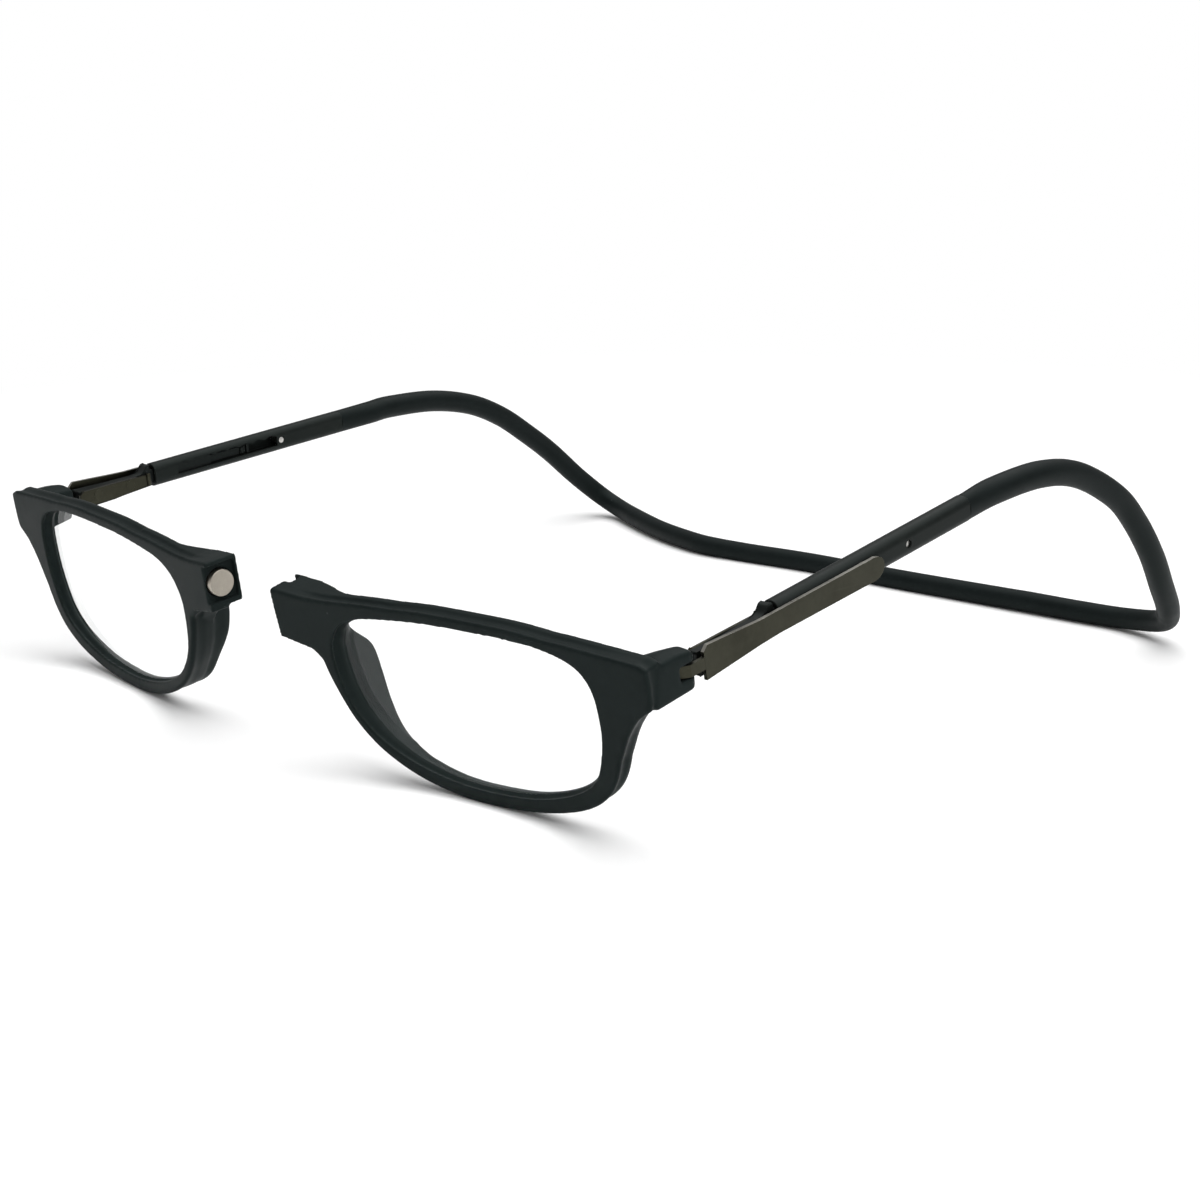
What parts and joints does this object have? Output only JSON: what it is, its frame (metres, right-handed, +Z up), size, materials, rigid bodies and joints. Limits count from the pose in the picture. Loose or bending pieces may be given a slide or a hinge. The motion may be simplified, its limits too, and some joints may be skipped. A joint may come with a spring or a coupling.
{
  "type": "reading glasses",
  "caption": "Front-clasp reading glasses with black half frames joined by magnets, sliding metal arms and a one-piece black neck band.",
  "frame": {"origin": "middle of the glasses' box, on the floor they rest on", "axes": "+Z up, square to the floor; the front faces -Y and the neck band is at +Y"},
  "size_m": [0.1598, 0.1546, 0.0424],
  "materials": {
    "front_black": "satin",
    "lens_clear": "clear",
    "magnet_metal": "polished",
    "pin_steel": "satin",
    "plate_bronze": "satin",
    "rail_black": "matte",
    "sleeve_black": "matte",
    "band_black": "matte"
  },
  "bodies": {
    "band_back": {"band_back": "band_black"},
    "side_right": {"band_right": "band_black", "sleeve_right": "sleeve_black", "stop_pin_right": "pin_steel"},
    "arm_right": {"outer_plate_right": "plate_bronze", "arm_rail_right": "rail_black", "inner_plate_right": "plate_bronze", "rivets_right": "pin_steel", "click_spring_right": "pin_steel"},
    "front_right": {"front_right": "front_black", "lens_right": "lens_clear", "magnet_right": "magnet_metal", "hinge_pin_right": "pin_steel"},
    "side_left": {"band_left": "band_black", "sleeve_left": "sleeve_black", "stop_pin_left": "pin_steel"},
    "arm_left": {"outer_plate_left": "plate_bronze", "arm_rail_left": "rail_black", "inner_plate_left": "plate_bronze", "rivets_left": "pin_steel", "click_spring_left": "pin_steel"},
    "front_left": {"front_left": "front_black", "lens_left": "lens_clear", "magnet_left": "magnet_metal", "hinge_pin_left": "pin_steel"}
  },
  "joints": [
    {"name": "flex_right", "type": "hinge", "parent": "band_back", "child": "side_right", "pos_m": [0.03974, 0.07382, 0.002], "axis": [0, 0, 1], "range_deg": [-3.05, 15], "stiffness_Nm_per_rad": 0.05},
    {"name": "flex_left", "type": "hinge", "parent": "band_back", "child": "side_left", "pos_m": [-0.04026, 0.06542, 0.002], "axis": [0, 0, -1], "range_deg": [-3.25, 15], "stiffness_Nm_per_rad": 0.05},
    {"name": "slide_right", "type": "slide", "parent": "side_right", "child": "arm_right", "axis": [0, -0.9843, -0.1767], "range_m": [0, 0.012]},
    {"name": "slide_left", "type": "slide", "parent": "side_left", "child": "arm_left", "axis": [0, -0.9968, -0.0805], "range_m": [0, 0.012]},
    {"name": "hinge_right", "type": "hinge", "parent": "arm_right", "child": "front_right", "pos_m": [0.07634, -0.0601, 0.02622], "axis": [0, -0.1767, 0.9843], "range_deg": [0, 25]},
    {"name": "hinge_left", "type": "hinge", "parent": "arm_left", "child": "front_left", "pos_m": [-0.07686, -0.06065, 0.02561], "axis": [0, 0.0805, -0.9968], "range_deg": [0, 25]}
  ]
}
